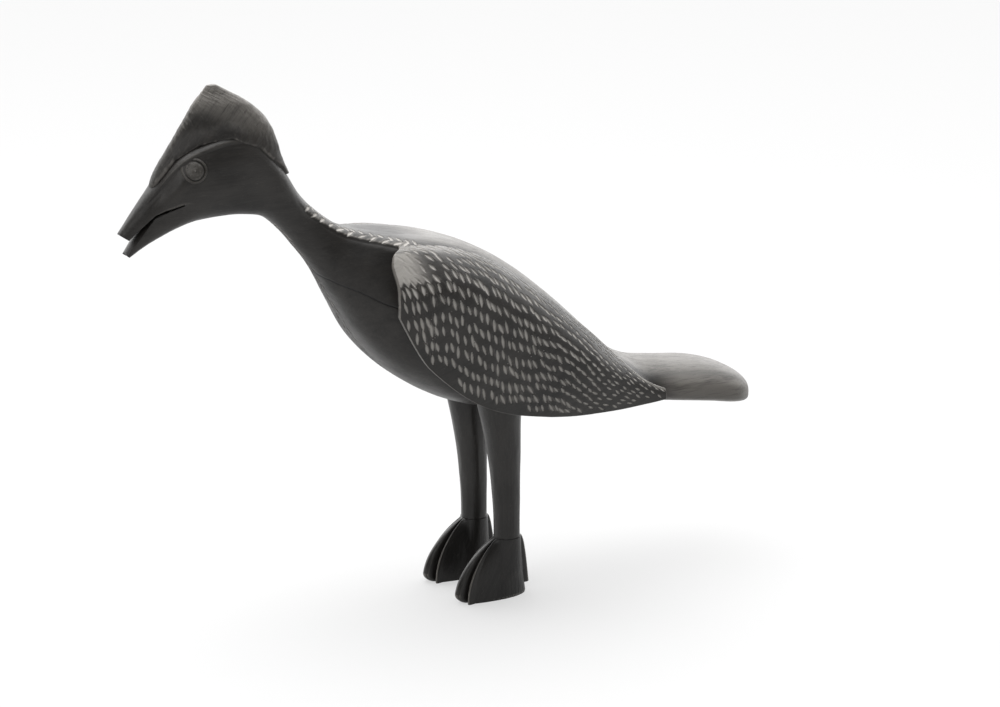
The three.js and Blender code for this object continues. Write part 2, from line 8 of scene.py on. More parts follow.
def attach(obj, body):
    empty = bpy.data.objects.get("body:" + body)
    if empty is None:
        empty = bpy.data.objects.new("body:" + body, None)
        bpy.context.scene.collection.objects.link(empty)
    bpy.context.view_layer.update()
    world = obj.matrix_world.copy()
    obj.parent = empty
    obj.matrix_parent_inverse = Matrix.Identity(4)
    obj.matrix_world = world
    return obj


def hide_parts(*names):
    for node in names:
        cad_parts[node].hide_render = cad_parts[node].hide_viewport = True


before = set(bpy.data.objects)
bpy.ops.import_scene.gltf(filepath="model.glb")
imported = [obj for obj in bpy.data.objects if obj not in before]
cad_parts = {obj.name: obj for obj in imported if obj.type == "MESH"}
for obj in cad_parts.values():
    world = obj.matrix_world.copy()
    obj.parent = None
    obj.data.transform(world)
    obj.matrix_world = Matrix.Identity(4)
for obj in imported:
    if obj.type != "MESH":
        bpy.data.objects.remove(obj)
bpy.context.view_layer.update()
scene = bpy.context.scene

# Body. One billet of hardwood, carved into beak, head, neck, trunk and tail, scraped smooth, stained
# nearly black and rubbed to a low sheen. Pale notches are cut along both edges of the mantle, from
# nape to wings, and down the middle of the breast. The mouth is a slit sawn in from the beak's tip.
ANKLE_X = 45.16  # mm from the middle of the bird's length back to the axis of its ankles
BELLY = 187  # mm from the ground to the belly

# Each slice is top x and height, bottom x and height, width, how far up its widest line is, and how
# boxy it is, where 2 is an ellipse. Heights are above the belly, x is from the ankles, all in mm.
BODY = np.array([
    (-386, 213, -383, 189, 11, 0.50, 2.6),
    (-366, 238, -359, 204, 21, 0.50, 2.6),
    (-348, 259, -340, 213, 31, 0.55, 2.6),
    (-328, 282, -324, 220, 46, 0.60, 2.9),
    (-306, 295, -308, 224, 53, 0.60, 3.0),
    (-276, 303, -280, 225, 53, 0.60, 3.0),
    (-249, 295, -258, 223, 48, 0.60, 2.8),
    (-223, 266, -240, 218, 45, 0.55, 2.4),
    (-203, 235, -224, 204, 37, 0.50, 2.2),
    (-183, 215, -209, 186, 37, 0.55, 2.3),
    (-161, 200, -191, 162, 49, 0.66, 2.6),
    (-130, 192, -169, 124, 86, 0.76, 3.0),
    (-99, 187, -146, 85, 112, 0.72, 3.1),
    (-62, 179, -112, 50, 136, 0.62, 2.8),
    (-23, 164, -67, 21, 146, 0.55, 2.4),
    (15, 141, -16, 3, 146, 0.50, 2.2),
    (54, 109, 42, -3, 141, 0.48, 2.2),
    (91, 74, 88, -8, 132, 0.45, 2.2),
    (125, 43, 124, -13, 118, 0.42, 2.2),
    (157, 26, 156, -17, 90, 0.38, 2.2),
    (194, 18, 193, -21, 95, 0.28, 2.3),
    (232, 12, 231, -27, 98, 0.28, 2.4),
    (257, 5, 256, -32, 98, 0.32, 2.5),
    (273, -2, 272, -35, 84, 0.36, 2.6),
    (285, -12, 284, -37, 57, 0.42, 2.7),
    (291, -22, 290, -38, 20, 0.50, 2.4),
])
BODY_RINGS = 520
BODY_COLUMNS = 96  # on each side, from the middle of the back to the middle of the breast
NOTCH_LENGTH = 12
NOTCH_WIDTH = 4.0
NOTCH_DEPTH = 0.9
NOTCH_JITTER = 0.34  # of a notch's place, as a share of the way to the next
NOTCH_SWAY = 0.42  # radians between the slants of the two notches that differ most
MARKS = 997  # random marks to pick from, a prime, as are the steps through them
CELL_STEP, FILE_STEP = 131, 71
MANTLE_TURN = 0.93  # from the middle of the back to the mantle's edge
MANTLE_STEP = 1.5  # mm from the mantle's edge down to the neck
HEAD_HOLLOW = 2.4
MOUTH_EDGE = 1.6
LIP = np.array([  # x and height of the mouth's upper edge
    (-374, 213.5), (-362, 225), (-350, 235), (-341, 239.4), (-325, 244), (-312, 245),
])
FILE_WIDTH = 9  # mm across a file of notches on the mantle
EDGE_FILE, UPPER_FILE = 8, 16  # mm from the mantle's edge to the inner side of each file


def smooth(values, at):
    """A cubic between each two values, whose slopes at its ends come from the values either side."""
    i = np.clip(np.floor(at).astype(int), 0, len(values) - 2)
    t = at - i
    here, there = values[i], values[i + 1]
    slope = (there - values[np.maximum(i - 1, 0)]) / 2
    next_slope = (values[np.minimum(i + 2, len(values) - 1)] - here) / 2
    return (here * (2 * t**3 - 3 * t**2 + 1) + there * (3 * t**2 - 2 * t**3)
            + slope * (t**3 - 2 * t**2 + t) + next_slope * (t**3 - t**2))


def bent(value, power):
    """A sine or cosine raised to a power with its sign kept, which makes a circle boxier."""
    return np.sign(value) * np.abs(value) ** power


def ease(value, low, high):
    """0 below low, 1 above high, and a soft S between."""
    t = np.clip((value - low) / (high - low), 0, 1)
    return t * t * (3 - 2 * t)


def body_surface(at, turn):
    """Slices across the billet: from its widest line a slice rises and falls by the cosine of the
    turn and widens by its sine, both bent by how boxy it is. Turn 0 is the middle of the back."""
    top_x, top_h, low_x, low_h, width, widest, boxy = (smooth(column, at) for column in BODY.T)
    rise = bent(np.cos(turn), 2 / boxy)
    share = widest + rise * np.where(rise > 0, 1 - widest, widest)
    across = bent(np.sin(turn), 2 / boxy) * width / 2
    return np.stack([low_x + (top_x - low_x) * share, across, low_h + (top_h - low_h) * share], -1)


def even(amounts, count):
    """Places where the running total of the amounts reaches evenly spaced levels."""
    total = np.concatenate([[0], np.cumsum(amounts)])
    return np.interp(np.linspace(0, total[-1], count), total, np.arange(len(total)))


def even_along(path, count, spacing=1):
    """Evenly spread places on a path of points, closer where spacing, in mm, is less."""
    return even(np.linalg.norm(np.diff(path, axis=0), axis=-1) / spacing, count) / (len(path) - 1)


def even_across(surface, rows, last, columns, spacing=None, fine=600):
    """For each rib the places from 0 to last whose steps along the rib are even, or have the spacing
    that a function gives of the distance from the rib's start and from its end."""
    places = np.linspace(0, last, fine)
    steps = np.linalg.norm(np.diff(surface(rows[:, None], places[None, :]), axis=1), axis=-1)
    walked = np.cumsum(steps, axis=1)
    weights = steps / spacing(walked, walked[:, -1:] - walked) if spacing else steps
    return np.stack([even(weight, columns) for weight in weights]) / (fine - 1) * last


def steps_of(grid, axis, closed=False):
    """The step from each point of a grid to the next, taken between its two neighbours."""
    if closed:
        return (np.roll(grid, -1, axis=axis) - np.roll(grid, 1, axis=axis)) / 2
    return np.gradient(grid, axis=axis)


def full_turn(count):
    """Angles once round, without the last one, which is the first again."""
    return np.linspace(0, 2 * math.pi, count, endpoint=False)[None, :]


def unit(vectors):
    return vectors / np.maximum(np.linalg.norm(vectors, axis=-1, keepdims=True), 1e-9)


def outward(points):
    """The way each point of a grid of rings faces."""
    return unit(np.cross(steps_of(points, 0), steps_of(points, 1, True)))


def walk(points, axis, weight=1):
    """Running length along one direction of a grid, from its first line, each step weighted."""
    steps = np.linalg.norm(np.diff(points, axis=axis), axis=-1) * weight
    start = np.zeros_like(np.take(steps, [0], axis=axis))
    return np.concatenate([start, np.cumsum(steps, axis=axis)], axis=axis)


def near_marks(u, v, steps, seed, jitter=0.45, around=None):
    """The marks nearest to each point: one in each cell of a brick pattern, off the cell's middle by
    its own random amounts, for the point's own cell and the eight round it. Gives the offset from
    the mark, the mark's own place and three random numbers. Around counts the cells of a ring."""
    random = np.random.default_rng(seed).random((MARKS, 5))
    file = np.floor(v / steps[1])
    for row in (file - 1, file, file + 1):
        shift = 0.5 * (row % 2)
        cell = np.floor(u / steps[0] - shift)
        for column in (cell - 1, cell, cell + 1):
            name = column % around if around else column
            pick = random[((name * CELL_STEP + row * FILE_STEP) % MARKS).astype(int)]
            mark_u = (column + shift + 0.5 + jitter * (pick[..., 0] - 0.5)) * steps[0]
            mark_v = (row + 0.5 + jitter * (pick[..., 1] - 0.5)) * steps[1]
            yield u - mark_u, v - mark_v, mark_u, mark_v, pick[..., 2:]


def scoops(u, v, steps, seed, jitter=0.45, around=None):
    """Shallow cuts of a gouge: the squared distance to the nearest mark, 0 in the middle of a cut
    and about 1 on the ridges between cuts."""
    nearest = np.full(u.shape, 9.0)
    for off_u, off_v, _, _, _ in near_marks(u, v, steps, seed, jitter, around):
        nearest = np.minimum(nearest, (off_u / steps[0]) ** 2 + (off_v / steps[1]) ** 2)
    return np.minimum(nearest * 2.5, 1)


def notches(points, normal, u, v, size, stroke, allowed, seed, steps, closed=False):
    """Cuts of a knife: for each point its place along and beside the strokes near it, in the plane
    of the skin. A cut is widest in its middle and runs out to a point at both ends, as
    1 - (along / half its length)^2. Gives 1 along its middle and 0 past its edge. Size shrinks a cut,
    steps are from one cut to the next along u and v."""
    u_row, v_row = steps_of(u, 0), steps_of(v, 0)
    v_column = steps_of(v, 1)
    v_column[:, [0, -1]] = v_column[:, [1, -2]]
    v_column = np.where(np.abs(v_column) < 0.01, 0.01, v_column)
    along_v = steps_of(points, 1, closed) / v_column[..., None]
    along_u = (steps_of(points, 0) - along_v * v_row[..., None]) / u_row[..., None]
    line = unit(stroke - normal * np.sum(stroke * normal, -1, keepdims=True))
    side = np.cross(normal, line)
    cut = np.zeros(u.shape)
    for off_u, off_v, mark_u, mark_v, pick in near_marks(u, v, steps, seed, NOTCH_JITTER):
        offset = off_u[..., None] * along_u + off_v[..., None] * along_v
        far_line, far_side = np.sum(offset * line, -1), np.sum(offset * side, -1)
        sway = (pick[..., 0] - 0.5) * NOTCH_SWAY
        far = far_line * np.cos(sway) + far_side * np.sin(sway)
        beside = far_side * np.cos(sway) - far_line * np.sin(sway)
        half = size * NOTCH_LENGTH / 2 * (0.8 + 0.4 * pick[..., 1])
        wide = size * NOTCH_WIDTH / 2 * (0.8 + 0.4 * pick[..., 2])
        wide = wide * np.maximum(1 - (far / half) ** 2, 0.001)
        cut = np.maximum(cut, ease(1 - np.abs(beside) / wide, 0, 0.7) * allowed(mark_u, mark_v))
    return cut


def edge_wear_and_hollow_shade(points, normal, reach, radius, closed=False):
    """1 on edges that hands have rubbed, and -1 in hollows, which are darkened as painted shade; both as
    tight as the radius or tighter: the bend is the height of each point above the middle of the four
    points reach steps away, over half their mean squared distance."""
    rows, columns = points.shape[:2]
    before = points[np.maximum(np.arange(rows) - reach, 0)]
    after = points[np.minimum(np.arange(rows) + reach, rows - 1)]
    if closed:
        left, right = np.roll(points, reach, axis=1), np.roll(points, -reach, axis=1)
    else:
        left = points[:, np.maximum(np.arange(columns) - reach, 0)]
        right = points[:, np.minimum(np.arange(columns) + reach, columns - 1)]
    around = np.stack([before, after, left, right]) - points
    spread = np.mean(np.sum(around**2, -1), 0) / 2
    return np.clip(-np.sum(around.mean(0) * normal, -1) / spread * radius, -1, 1)


def in_metres(points):
    """From mm off the ankles and the belly to the shared frame."""
    return (points + np.array([ANKLE_X, 0, BELLY])) / 1000


def carve(name, points, faces, material=None, **attributes):
    """A smooth shaded mesh object from points in mm, faces that look outwards and one number for
    each point under each attribute's name."""
    mesh = bpy.data.meshes.new(name)
    mesh.from_pydata(in_metres(points.reshape(-1, 3)).tolist(), [], faces)
    for label, values in attributes.items():
        mesh.attributes.new(label, "FLOAT", "POINT").data.foreach_set("value", values.ravel())
    if material:
        mesh.materials.append(material)
    mesh.shade_smooth()
    piece = bpy.data.objects.new(name, mesh)
    scene.collection.objects.link(piece)
    return piece


def grid_faces(rows, columns, closed=False, first=0):
    """Quads of a grid whose points count on from the first, and whose columns may close into rings."""
    last_column = columns if closed else columns - 1
    row, column = np.meshgrid(np.arange(rows - 1), np.arange(last_column), indexing="ij")
    here, beside = row * columns + column, row * columns + (column + 1) % columns
    return first + np.stack([here, here + columns, beside + columns, beside], -1).reshape(-1, 4)


def tube(name, points, material=None, **attributes):
    """A closed solid from a grid of rings, whose first and last are closed by fans of triangles to a
    point in their middle."""
    rows, columns = points.shape[:2]
    ring = np.arange(columns)
    after = (ring + 1) % columns
    last = (rows - 1) * columns
    start, end = np.full(columns, rows * columns), np.full(columns, rows * columns + 1)
    fans = [np.stack([ring, after, start], -1), np.stack([last + after, last + ring, end], -1)]
    faces = grid_faces(rows, columns, True).tolist() + np.concatenate(fans).tolist()
    for label, values in attributes.items():
        attributes[label] = np.concatenate([values.ravel(), values[[0, -1], 0]])
    solid = np.concatenate([points.reshape(-1, 3), points[[0, -1]].mean(axis=1)])
    return carve(name, solid, faces, material, **attributes)


def body_rows(count):
    """Slices close together where notches are cut, wider apart on the head, widest on the tail."""
    fine = np.linspace(0, len(BODY) - 1, 4000)
    back = body_surface(fine, np.zeros_like(fine))
    x = back[1:, 0]
    spacing = 0.9 + 0.7 * (1 - ease(x, -240, -215)) + 2.3 * ease(x, 105, 135)
    return even_along(back, count, spacing) * (len(BODY) - 1)


def body_spacing(from_back, from_breast):
    """Fine over the back and the middle of the breast, coarse on the flanks."""
    return 0.95 + 2.6 * ease(from_back, 58, 72) * ease(from_breast, 12, 22)


rows = body_rows(BODY_RINGS)
half = even_across(body_surface, rows, math.pi, BODY_COLUMNS, body_spacing)
turn = np.concatenate([-half[:, :0:-1], half[:, :-1]], axis=1)
skin = body_surface(rows[:, None], turn)
normal = outward(skin)

# Lengths over the skin, from the middle of the back and from the beak, in steps of the notches
half_skin = body_surface(rows[:, None], half)
from_back = walk(half_skin, 1)
arc = np.concatenate([-from_back[:, :0:-1], from_back[:, :-1]], axis=1)
back_line = half_skin[:, 0]
size = 1 - 0.38 * ease(back_line[:, 0], -20, 150)
u = np.concatenate([[0], np.cumsum(np.linalg.norm(np.diff(back_line, axis=0), axis=-1) / size[1:])])
u = np.repeat(u[:, None], turn.shape[1], axis=1)
size = size[:, None] * np.ones_like(u)
x, height = skin[..., 0], skin[..., 2]


def at_mark(mark_u, column):
    """Looks up, for the marks' places along the back, a number that each slice has."""
    return np.interp(mark_u, u[:, 0], column)


# Two files of cuts along each edge of the mantle: they slant up to the rear on the very edge, and
# lie across the bird just above it, so that they meet like herringbones
crease = np.array([np.interp(MANTLE_TURN, t, a) for t, a in zip(half, from_back)])
from_crease = np.abs(arc) - crease[:, None]
over = np.where(arc < 0, -1, 1)
edge_stroke = np.stack([0.9 * np.ones_like(x), -0.3 * over, 0.3 * np.ones_like(x)], -1)
upper_stroke = np.stack([0.15 * np.ones_like(x), over, -0.25 * np.ones_like(x)], -1)


def beside_crease(mark_u, mark_v):
    """One file only, from the nape to the wings."""
    mark_x = at_mark(mark_u, back_line[:, 0])
    return (mark_v > 0) & (mark_v < FILE_WIDTH) & (mark_x > -200) & (mark_x < -96)


notch = np.maximum(
    notches(skin, normal, u, from_crease + EDGE_FILE, 0.95 * size, edge_stroke, beside_crease, 5,
            (9.6, FILE_WIDTH), True),
    notches(skin, normal, u, from_crease + UPPER_FILE, 0.8 * size, upper_stroke, beside_crease, 6,
            (7.6, FILE_WIDTH), True),
)

# Small cuts down the middle of the breast
from_breast = (from_back[:, -1:] - np.abs(arc)) * over
low_x = body_surface(rows, np.full_like(rows, math.pi))[:, 0]
breast_stroke = np.stack([0.5 * np.ones_like(x), 0.45 * over, -0.8 * np.ones_like(x)], -1)


def on_breast(mark_u, mark_v):
    """A narrow band from the throat to the belly."""
    mark_x = at_mark(mark_u, low_x)
    return (np.abs(mark_v) < 8) & (mark_x > -232) & (mark_x < -60)


notch = np.maximum(notch, notches(
    skin, normal, u, from_breast, 0.66 * size, breast_stroke, on_breast, 8, (7.5, 7), True
))

# The mantle's edge stands a little over the neck, the head is hollowed below its rim, and the
# mouth's edge runs on behind the sawn slit
mantle = ease(x, -215, -190) * (1 - ease(x, -110, -92))
overhang = MANTLE_STEP * mantle * ease(from_crease, -0.5, 3.5) * (1 - ease(from_crease, 8, 34))
from_rim = np.abs(turn) - 0.80 + 0.18 * ease(-x, 285, 335)
below_rim = ease(from_rim, 0, 0.15) * (1 - ease(from_rim, 0.4, 1.0))
hollow = HEAD_HOLLOW * below_rim * ease(x, -362, -338) * ease(-x, 243, 288)
below_lip = np.interp(x, *LIP.T) - height
mouth_edge = MOUTH_EDGE * ease(below_lip, 0, 1.6) * (1 - ease(below_lip, 4, 19)) * ease(-x, 314, 330)
scraped = 0.12 * scoops(u, arc, (17, 9), 3)
depth = NOTCH_DEPTH * notch * size + overhang + hollow + mouth_edge + scraped
skin = skin - normal * depth[..., None]

# Painted light: the tail is painted paler, most on its sides, which lie in shade, and the strip of
# back between the wings is painted pale as a painted sheen; hollows get painted shade
tail_painted_light = (0.45 + 0.37 * ease(np.abs(turn), 0.7, 1.2)) * (1 - ease(np.abs(turn), 2.1, 2.6))
tail_painted_light = tail_painted_light * ease(x, 140, 200)
back_painted_sheen = 0.62 * ease(x, -150, -60) * (1 - ease(np.abs(arc), 30, 50))
wear = np.maximum(edge_wear_and_hollow_shade(skin, normal, 3, 6, True), np.maximum(tail_painted_light, back_painted_sheen))
body = tube("carved_body", skin, notch=notch, wear=wear)


def cut_away(piece, tool):
    """Takes from a piece all that lies inside another closed object."""
    cutter = piece.modifiers.new("cut", "BOOLEAN")
    cutter.operation = "DIFFERENCE"
    cutter.object = tool
    cutter.solver = "MANIFOLD"
    left = bpy.data.meshes.new_from_object(piece.evaluated_get(bpy.context.evaluated_depsgraph_get()))
    piece.modifiers.clear()
    piece.data = left


JAW_EDGE = 6  # mm from the bird's middle plane to where the lower jaw's top is rounded off
FALL_END = 1.5  # times as far out as that, where the cut stops falling


def flared_slab(name, outline, reach):
    """A cutter: an outline of x, height and drop in the bird's middle plane, carried across to both
    sides, where each point falls by its drop times the square of the way to the jaw's edge."""
    flat = np.array(outline, float)
    across = np.array([-reach, *(np.linspace(-FALL_END, FALL_END, 13) * JAW_EDGE), reach])
    falls = np.minimum(np.abs(across) / JAW_EDGE, FALL_END)[:, None] ** 2 * flat[:, 2]
    points = np.stack(np.broadcast_arrays(flat[:, 0], across[:, None], flat[:, 1] - falls), -1)
    count = len(flat)
    ring = np.arange(count)
    sides = np.roll(grid_faces(len(across), count, True)[:, ::-1], 1, axis=1)
    ends = [ring[::-1].tolist(), (ring + (len(across) - 1) * count).tolist()]
    return carve(name, points, ends + sides.tolist())


# The saw's cut: it squares off both tips and leaves the lower jaw hanging a little open, rounded
# along its top
SAW_REACH = 60  # past both sides of the beak
saw = flared_slab("saw_cut", [
    (-390, 225, 0), (-374, 213.5, 0), (-362, 224.3, 0), (-350, 235, 0), (-325, 244, 0),
    (-324.6, 242.4, 0), (-349.6, 233.2, 0.6), (-361.6, 220.4, 1.8), (-375.5, 201.4, 2.6),
    (-347.5, 171.4, 2.6), (-407.7, 171.4, 0), (-407.7, 232.5, 0),
], SAW_REACH)
cut_away(body, saw)
bpy.data.objects.remove(saw)
body.data.set_sharp_from_angle(angle=math.radians(50))


def add_node(tree, kind, settings=(), links=()):
    """A shader node with its settings, and its sockets set to numbers or linked to other sockets."""
    made = tree.nodes.new(f"ShaderNode{kind}")
    for name, value in dict(settings).items():
        setattr(made, name, value)
    for place, value in dict(links).items():
        if isinstance(value, bpy.types.NodeSocket):
            tree.links.new(value, made.inputs[place])
        else:
            made.inputs[place].default_value = value
    return made


def reckon(tree, operation, first, second, third=0.0):
    """The result of one piece of arithmetic."""
    links = {0: first, 1: second, 2: third} if operation == "MULTIPLY_ADD" else {0: first, 1: second}
    return add_node(tree, "Math", {"operation": operation}, links).outputs[0]


def between(tree, value, low, high, to_low=0.0, to_high=1.0):
    """Eases from one result to the other as a value goes from low to high."""
    links = {"Value": value, "From Min": low, "From Max": high, "To Min": to_low, "To Max": to_high}
    return add_node(tree, "MapRange", {"interpolation_type": "SMOOTHSTEP"}, links).outputs[0]


def dyed(tree, share, first, second):
    """The first colour where the share is 0, the second where it is 1."""
    made = add_node(tree, "Mix", {"data_type": "RGBA"}, {0: share, 6: first, 7: second})
    return made.outputs[2]


# Stained carved wood, shared by every piece: pores drawn out along the grain, cloudy stain, fine
# scratches from handling, and the height that they give the surface.
wood_grain = bpy.data.node_groups.new("wood_grain", "ShaderNodeTree")
wood_grain.interface.new_socket("Vector", in_out="INPUT", socket_type="NodeSocketVector")
for output_name in ("Grain", "Clouds", "Scratches", "Height"):
    wood_grain.interface.new_socket(output_name, in_out="OUTPUT", socket_type="NodeSocketFloat")
grain_in = wood_grain.nodes.new("NodeGroupInput").outputs["Vector"]


def drawn_out_noise(scale, detail, roughness, distortion):
    """Noise with its own scale along the grain and across it, in specks per metre."""
    links = {0: grain_in, 1: scale}
    drawn_out = add_node(wood_grain, "VectorMath", {"operation": "MULTIPLY"}, links).outputs[0]
    links = {"Vector": drawn_out, "Scale": 1.0, "Detail": detail, "Roughness": roughness,
             "Distortion": distortion}
    return add_node(wood_grain, "TexNoise", {}, links).outputs["Fac"]


pores = drawn_out_noise((45, 800, 800), 3.0, 0.6, 0.6)
streaks = drawn_out_noise((9, 150, 150), 4.0, 0.6, 0.8)
clouds = drawn_out_noise((14, 22, 22), 3.0, 0.55, 0.4)
hairlines = drawn_out_noise((60, 1700, 900), 2.0, 0.7, 1.5)
grain_tone = reckon(wood_grain, "MULTIPLY_ADD", pores, 0.45, reckon(wood_grain, "MULTIPLY", streaks, 0.55))
scratches = between(wood_grain, hairlines, 0.60, 0.74)
relief = reckon(wood_grain, "SUBTRACT", grain_tone, reckon(wood_grain, "MULTIPLY", scratches, 0.35))
grain_out = wood_grain.nodes.new("NodeGroupOutput")
for output_name, made in (
    ("Grain", grain_tone), ("Clouds", clouds), ("Scratches", scratches), ("Height", relief)
):
    wood_grain.links.new(made, grain_out.inputs[output_name])


# The drying crack's line, in metres
CRACK_FALL = 0.511  # down for each metre to the rear
CRACK_LEVEL = 0.2735  # its height where x is 0
CRACK_SWAY = 0.004
CRACK_CORE, CRACK_EDGE = 0.0004, 0.0011  # half widths
CRACK_START = (-0.158, -0.145)  # x, where it comes in


def drying_crack(tree, place):
    """1 in a thin split that runs back and down across the left side of the neck: where the height
    plus the fall times x, swayed a little by noise, is the crack's level."""
    parts = add_node(tree, "SeparateXYZ", {}, {0: place}).outputs
    level = reckon(tree, "MULTIPLY_ADD", parts["X"], CRACK_FALL, parts["Z"])
    sway = add_node(tree, "TexNoise", {}, {"Vector": place, "Scale": 45.0, "Detail": 2.0}).outputs["Fac"]
    level = reckon(tree, "MULTIPLY_ADD", sway, CRACK_SWAY, level)
    off = reckon(tree, "ABSOLUTE", reckon(tree, "SUBTRACT", level, CRACK_LEVEL), 0.0)
    split = between(tree, off, CRACK_CORE, CRACK_EDGE, 1.0, 0.0)
    split = reckon(tree, "MULTIPLY", split, between(tree, parts["X"], *CRACK_START))
    return reckon(tree, "MULTIPLY", split, between(tree, parts["Y"], -0.004, 0.0, 1.0, 0.0))


# The stain where it is thick and thin, a pale stain for rubbed wear and for painted light, a near
# black for painted shade in hollows and for the drying crack, and the bare wood of the cuts
STAIN_DARK = (0.013, 0.012, 0.011, 1)
STAIN_BROWN = (0.034, 0.031, 0.028, 1)
STAIN_WORN_AND_LIT = (0.19, 0.178, 0.162, 1)
SHADE_AND_CRACK_DARK = (0.004, 0.0038, 0.0035, 1)
CUT_SOILED = (0.33, 0.312, 0.288, 1)
CUT_WOOD = (0.64, 0.615, 0.58, 1)


def stained_wood(name, turned, rough, dark=STAIN_DARK, brown=STAIN_BROWN, worn_and_lit=STAIN_WORN_AND_LIT,
                 relief=0.00025, notched=False, split=False):
    """A material of stained wood, whose grain runs along X after the turn given in degrees. Worn edges
    and painted light are paler, hollows get painted shade, and notches show the bare wood under the
    stain, a little soiled."""
    material = bpy.data.materials.new(name)
    material.use_nodes = True
    tree = material.node_tree
    shader = tree.nodes["Principled BSDF"]
    place = add_node(tree, "TexCoord").outputs["Object"]
    along = add_node(tree, "Mapping", {}, {
        "Vector": place, "Rotation": [math.radians(angle) for angle in turned]
    })
    grain = tree.nodes.new("ShaderNodeGroup")
    grain.node_tree = wood_grain
    tree.links.new(along.outputs[0], grain.inputs["Vector"])
    tone = reckon(tree, "MULTIPLY_ADD", grain.outputs["Grain"], 0.5,
                  reckon(tree, "MULTIPLY", grain.outputs["Clouds"], 0.6))
    colour = dyed(tree, between(tree, tone, 0.38, 0.72), dark, brown)
    # The attribute holds edge wear and painted light above 0, and painted shade in hollows below 0
    edge = add_node(tree, "Attribute", {"attribute_name": "wear"}).outputs["Fac"]
    paled_by_wear_and_light = reckon(tree, "MULTIPLY", between(tree, edge, 0.15, 0.95),
                   between(tree, grain.outputs["Grain"], 0.3, 0.55, 0.35, 1.0))
    scuffed = reckon(tree, "MULTIPLY", grain.outputs["Scratches"], 0.12)
    colour = dyed(tree, reckon(tree, "MAXIMUM", paled_by_wear_and_light, scuffed), colour, worn_and_lit)
    # Painted shade: hollows, where the attribute is below 0, are darkened to near black
    colour = dyed(tree, between(tree, edge, -0.15, -0.8), colour, SHADE_AND_CRACK_DARK)
    low, high = rough
    dull = between(tree, tone, 0.35, 0.75, high, low)
    if notched:
        cut = add_node(tree, "Attribute", {"attribute_name": "notch"}).outputs["Fac"]
        soiled = dyed(tree, grain.outputs["Grain"], CUT_SOILED, CUT_WOOD)
        colour = dyed(tree, cut, colour, soiled)
        dull = reckon(tree, "MULTIPLY_ADD", cut, 0.35, dull)
    height = grain.outputs["Height"]
    if split:
        crack = drying_crack(tree, place)
        colour = dyed(tree, crack, colour, SHADE_AND_CRACK_DARK)
        height = reckon(tree, "MULTIPLY_ADD", crack, -2.0, height)
    bump = add_node(tree, "Bump", {}, {"Strength": 0.6, "Distance": relief, "Height": height})
    tree.links.new(colour, shader.inputs["Base Color"])
    tree.links.new(dull, shader.inputs["Roughness"])
    tree.links.new(bump.outputs[0], shader.inputs["Normal"])
    shader.inputs["Specular IOR Level"].default_value = 0.35
    return material


body.data.materials.clear()
body.data.materials.append(stained_wood("body_wood", (0, 0, 0), (0.36, 0.52), notched=True, split=True))
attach(body, "root")
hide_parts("body")


# Casque. A separate block of the same wood, hollowed below to straddle the head and set on a hidden
# peg. Its sides still show the gouge, its front edge is a narrow flat, and its foot is undercut, so
# a dark line runs between it and the rim of the head.
CASQUE = np.array([  # height, x of the front and of the rear, width
    (258, -350, -215, 46),
    (274, -342, -222, 46),
    (289, -332, -226, 43),
    (304, -322, -232, 39),
    (317, -313, -241, 34),
    (329, -305, -255, 28),
    (338, -297, -270, 15),
    (345, -291, -282, 6),
])
CASQUE_SQUARE = 3.4
CASQUE_FRONT = 0.4  # width of its front edge as a share of the full width
CASQUE_RINGS = 190
CASQUE_COLUMNS = 220
CASQUE_FLARE = 3.4  # mm that its sides spread at the foot
CASQUE_WAIST = 0.9  # mm that they draw in above that
CASQUE_GROOVE = 2.2
CASQUE_BROWN = (0.042, 0.038, 0.034, 1)


def head_top(x, y):
    """Height of the head's own surface under the casque, from the body's slices set upright."""
    top, low, width = (np.interp(x, BODY[:12, 0], BODY[:12, k]) for k in (1, 3, 4))
    middle = low + 0.6 * (top - low)
    off = np.minimum(np.abs(y) / (width / 2), 0.98)
    return middle + (top - middle) * (1 - off**3) ** (1 / 3)


def casque_surface(at, angle):
    """Level slices: a boxy ellipse that narrows towards its front edge."""
    level, front, rear, width = (smooth(column, at) for column in CASQUE.T)
    along = bent(np.cos(angle), 2 / CASQUE_SQUARE)
    across = -bent(np.sin(angle), 2 / CASQUE_SQUARE)
    taper = 1 - (1 - CASQUE_FRONT) * ((1 - along) / 2) ** 2
    length = (front + rear) / 2 + along * (rear - front) / 2
    return np.stack([length, across * taper * width / 2, level + 0 * along], -1)


levels = np.linspace(0, len(CASQUE) - 1, CASQUE_RINGS)
places = even_across(casque_surface, levels, 2 * math.pi, CASQUE_COLUMNS + 1, fine=1200)[:, :-1]
shell = casque_surface(levels[:, None], places)
shell_normal = outward(shell)


def above_head(points):
    """How far points are above the head's skin."""
    return points[..., 2] - head_top(points[..., 0], points[..., 1])


# Its sides draw in to a waist and flare again to the foot, less so at the rear. A groove runs along
# the head's skin, and what is hidden inside the head draws in further
clear = above_head(shell)
flare = CASQUE_FLARE * (1 - ease(clear, 2, 15)) - CASQUE_WAIST * np.exp(-((clear - 17) / 5) ** 2)
flare = flare * (1 - 0.75 * ease(shell[..., 0], -278, -245))
shell[..., 1] += flare * shell_normal[..., 1]
clear = above_head(shell)
groove = CASQUE_GROOVE * np.exp(-(np.clip(clear, 0, 12) / 1.8) ** 2) + 0.5 * np.clip(-clear, 0, 9)
girth = walk(shell, 1)
slant = girth + 0.7 * shell[..., 2]
upright = shell[..., 2] - 0.6 * girth
marks = 0.3 * scoops(slant, upright, (7, 11), 21, 0.95) + 0.22 * scoops(slant, upright, (2.6, 9), 22, 0.95)
shell = shell - shell_normal * (groove - marks)[..., None] * np.array([1, 1, 0.4])
